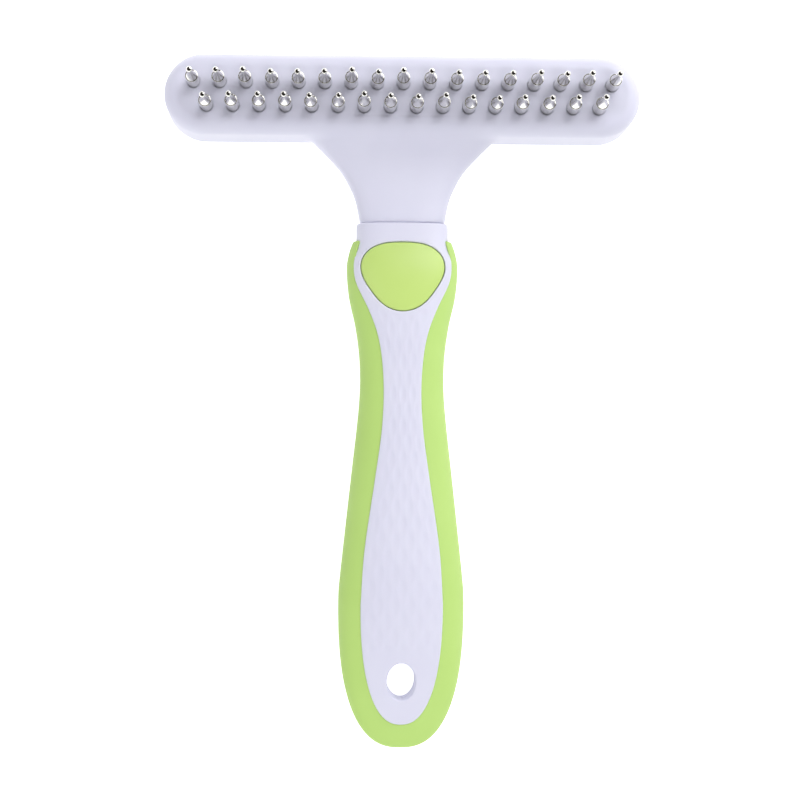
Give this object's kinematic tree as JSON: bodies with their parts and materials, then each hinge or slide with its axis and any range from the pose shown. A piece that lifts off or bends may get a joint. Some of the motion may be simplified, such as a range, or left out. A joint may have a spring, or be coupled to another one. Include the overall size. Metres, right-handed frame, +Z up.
{
  "type": "deshedding tool",
  "caption": "Pet deshedding rake with a cross bar of spinning steel pins on a head that releases from a soft-sided handle by a push button.",
  "frame": {"origin": "middle of the tool's footprint, on the surface that its back lies on", "axes": "+X along the cross bar, +Y from the handle's end to the head, +Z up along the pins"},
  "size_m": [0.1288, 0.1864, 0.03],
  "materials": {
    "white_plastic": "satin moulded ABS with a faint lavender tint",
    "inner_plastic": "natural moulded acetal, unseen inside",
    "soft_green": "matte lime soft-touch rubber overmould",
    "button_green": "satin-gloss lime moulded plastic",
    "pin_steel": "polished nickel-plated steel",
    "spring_steel": "drawn spring wire"
  },
  "bodies": {
    "handle": {"handle_front_shell": "white_plastic", "handle_back_shell": "white_plastic", "soft_grip": "soft_green"},
    "head": {"head_shell": "white_plastic", "pin_retainer": "inner_plastic", "head_back_cover": "white_plastic"},
    "button": {"release_button": "button_green", "latch": "inner_plastic", "button_spring": "spring_steel"},
    "pin_a01": {"pin_a01": "pin_steel"},
    "pin_a02": {"pin_a02": "pin_steel"},
    "pin_a03": {"pin_a03": "pin_steel"},
    "pin_a04": {"pin_a04": "pin_steel"},
    "pin_a05": {"pin_a05": "pin_steel"},
    "pin_a06": {"pin_a06": "pin_steel"},
    "pin_a07": {"pin_a07": "pin_steel"},
    "pin_a08": {"pin_a08": "pin_steel"},
    "pin_a09": {"pin_a09": "pin_steel"},
    "pin_a10": {"pin_a10": "pin_steel"},
    "pin_a11": {"pin_a11": "pin_steel"},
    "pin_a12": {"pin_a12": "pin_steel"},
    "pin_a13": {"pin_a13": "pin_steel"},
    "pin_a14": {"pin_a14": "pin_steel"},
    "pin_a15": {"pin_a15": "pin_steel"},
    "pin_a16": {"pin_a16": "pin_steel"},
    "pin_a17": {"pin_a17": "pin_steel"},
    "pin_b01": {"pin_b01": "pin_steel"},
    "pin_b02": {"pin_b02": "pin_steel"},
    "pin_b03": {"pin_b03": "pin_steel"},
    "pin_b04": {"pin_b04": "pin_steel"},
    "pin_b05": {"pin_b05": "pin_steel"},
    "pin_b06": {"pin_b06": "pin_steel"},
    "pin_b07": {"pin_b07": "pin_steel"},
    "pin_b08": {"pin_b08": "pin_steel"},
    "pin_b09": {"pin_b09": "pin_steel"},
    "pin_b10": {"pin_b10": "pin_steel"},
    "pin_b11": {"pin_b11": "pin_steel"},
    "pin_b12": {"pin_b12": "pin_steel"},
    "pin_b13": {"pin_b13": "pin_steel"},
    "pin_b14": {"pin_b14": "pin_steel"},
    "pin_b15": {"pin_b15": "pin_steel"},
    "pin_b16": {"pin_b16": "pin_steel"}
  },
  "joints": [
    {"name": "button_press", "type": "slide", "parent": "handle", "child": "button", "axis": [0, 0, -1], "range_m": [0, 0.0022], "stiffness_N_per_m": 600, "springref_m": -0.002, "deforming": ["button_spring"]},
    {"name": "head_release", "type": "slide", "parent": "handle", "child": "head", "axis": [0, 1, 0], "range_m": [0, 0.04]},
    {"name": "spin_a01", "type": "hinge", "parent": "head", "child": "pin_a01", "pos_m": [-0.056, 0.0848, 0.015], "axis": [0, 0, 1], "continuous": true},
    {"name": "spin_a02", "type": "hinge", "parent": "head", "child": "pin_a02", "pos_m": [-0.049, 0.0848, 0.015], "axis": [0, 0, 1], "continuous": true},
    {"name": "spin_a03", "type": "hinge", "parent": "head", "child": "pin_a03", "pos_m": [-0.042, 0.0848, 0.015], "axis": [0, 0, 1], "continuous": true},
    {"name": "spin_a04", "type": "hinge", "parent": "head", "child": "pin_a04", "pos_m": [-0.035, 0.0848, 0.015], "axis": [0, 0, 1], "continuous": true},
    {"name": "spin_a05", "type": "hinge", "parent": "head", "child": "pin_a05", "pos_m": [-0.028, 0.0848, 0.015], "axis": [0, 0, 1], "continuous": true},
    {"name": "spin_a06", "type": "hinge", "parent": "head", "child": "pin_a06", "pos_m": [-0.021, 0.0848, 0.015], "axis": [0, 0, 1], "continuous": true},
    {"name": "spin_a07", "type": "hinge", "parent": "head", "child": "pin_a07", "pos_m": [-0.014, 0.0848, 0.015], "axis": [0, 0, 1], "continuous": true},
    {"name": "spin_a08", "type": "hinge", "parent": "head", "child": "pin_a08", "pos_m": [-0.007, 0.0848, 0.015], "axis": [0, 0, 1], "continuous": true},
    {"name": "spin_a09", "type": "hinge", "parent": "head", "child": "pin_a09", "pos_m": [0, 0.0848, 0.015], "axis": [0, 0, 1], "continuous": true},
    {"name": "spin_a10", "type": "hinge", "parent": "head", "child": "pin_a10", "pos_m": [0.007, 0.0848, 0.015], "axis": [0, 0, 1], "continuous": true},
    {"name": "spin_a11", "type": "hinge", "parent": "head", "child": "pin_a11", "pos_m": [0.014, 0.0848, 0.015], "axis": [0, 0, 1], "continuous": true},
    {"name": "spin_a12", "type": "hinge", "parent": "head", "child": "pin_a12", "pos_m": [0.021, 0.0848, 0.015], "axis": [0, 0, 1], "continuous": true},
    {"name": "spin_a13", "type": "hinge", "parent": "head", "child": "pin_a13", "pos_m": [0.028, 0.0848, 0.015], "axis": [0, 0, 1], "continuous": true},
    {"name": "spin_a14", "type": "hinge", "parent": "head", "child": "pin_a14", "pos_m": [0.035, 0.0848, 0.015], "axis": [0, 0, 1], "continuous": true},
    {"name": "spin_a15", "type": "hinge", "parent": "head", "child": "pin_a15", "pos_m": [0.042, 0.0848, 0.015], "axis": [0, 0, 1], "continuous": true},
    {"name": "spin_a16", "type": "hinge", "parent": "head", "child": "pin_a16", "pos_m": [0.049, 0.0848, 0.015], "axis": [0, 0, 1], "continuous": true},
    {"name": "spin_a17", "type": "hinge", "parent": "head", "child": "pin_a17", "pos_m": [0.056, 0.0848, 0.015], "axis": [0, 0, 1], "continuous": true},
    {"name": "spin_b01", "type": "hinge", "parent": "head", "child": "pin_b01", "pos_m": [-0.0525, 0.0785, 0.015], "axis": [0, 0, 1], "continuous": true},
    {"name": "spin_b02", "type": "hinge", "parent": "head", "child": "pin_b02", "pos_m": [-0.0455, 0.0785, 0.015], "axis": [0, 0, 1], "continuous": true},
    {"name": "spin_b03", "type": "hinge", "parent": "head", "child": "pin_b03", "pos_m": [-0.0385, 0.0785, 0.015], "axis": [0, 0, 1], "continuous": true},
    {"name": "spin_b04", "type": "hinge", "parent": "head", "child": "pin_b04", "pos_m": [-0.0315, 0.0785, 0.015], "axis": [0, 0, 1], "continuous": true},
    {"name": "spin_b05", "type": "hinge", "parent": "head", "child": "pin_b05", "pos_m": [-0.0245, 0.0785, 0.015], "axis": [0, 0, 1], "continuous": true},
    {"name": "spin_b06", "type": "hinge", "parent": "head", "child": "pin_b06", "pos_m": [-0.0175, 0.0785, 0.015], "axis": [0, 0, 1], "continuous": true},
    {"name": "spin_b07", "type": "hinge", "parent": "head", "child": "pin_b07", "pos_m": [-0.0105, 0.0785, 0.015], "axis": [0, 0, 1], "continuous": true},
    {"name": "spin_b08", "type": "hinge", "parent": "head", "child": "pin_b08", "pos_m": [-0.0035, 0.0785, 0.015], "axis": [0, 0, 1], "continuous": true},
    {"name": "spin_b09", "type": "hinge", "parent": "head", "child": "pin_b09", "pos_m": [0.0035, 0.0785, 0.015], "axis": [0, 0, 1], "continuous": true},
    {"name": "spin_b10", "type": "hinge", "parent": "head", "child": "pin_b10", "pos_m": [0.0105, 0.0785, 0.015], "axis": [0, 0, 1], "continuous": true},
    {"name": "spin_b11", "type": "hinge", "parent": "head", "child": "pin_b11", "pos_m": [0.0175, 0.0785, 0.015], "axis": [0, 0, 1], "continuous": true},
    {"name": "spin_b12", "type": "hinge", "parent": "head", "child": "pin_b12", "pos_m": [0.0245, 0.0785, 0.015], "axis": [0, 0, 1], "continuous": true},
    {"name": "spin_b13", "type": "hinge", "parent": "head", "child": "pin_b13", "pos_m": [0.0315, 0.0785, 0.015], "axis": [0, 0, 1], "continuous": true},
    {"name": "spin_b14", "type": "hinge", "parent": "head", "child": "pin_b14", "pos_m": [0.0385, 0.0785, 0.015], "axis": [0, 0, 1], "continuous": true},
    {"name": "spin_b15", "type": "hinge", "parent": "head", "child": "pin_b15", "pos_m": [0.0455, 0.0785, 0.015], "axis": [0, 0, 1], "continuous": true},
    {"name": "spin_b16", "type": "hinge", "parent": "head", "child": "pin_b16", "pos_m": [0.0525, 0.0785, 0.015], "axis": [0, 0, 1], "continuous": true}
  ]
}
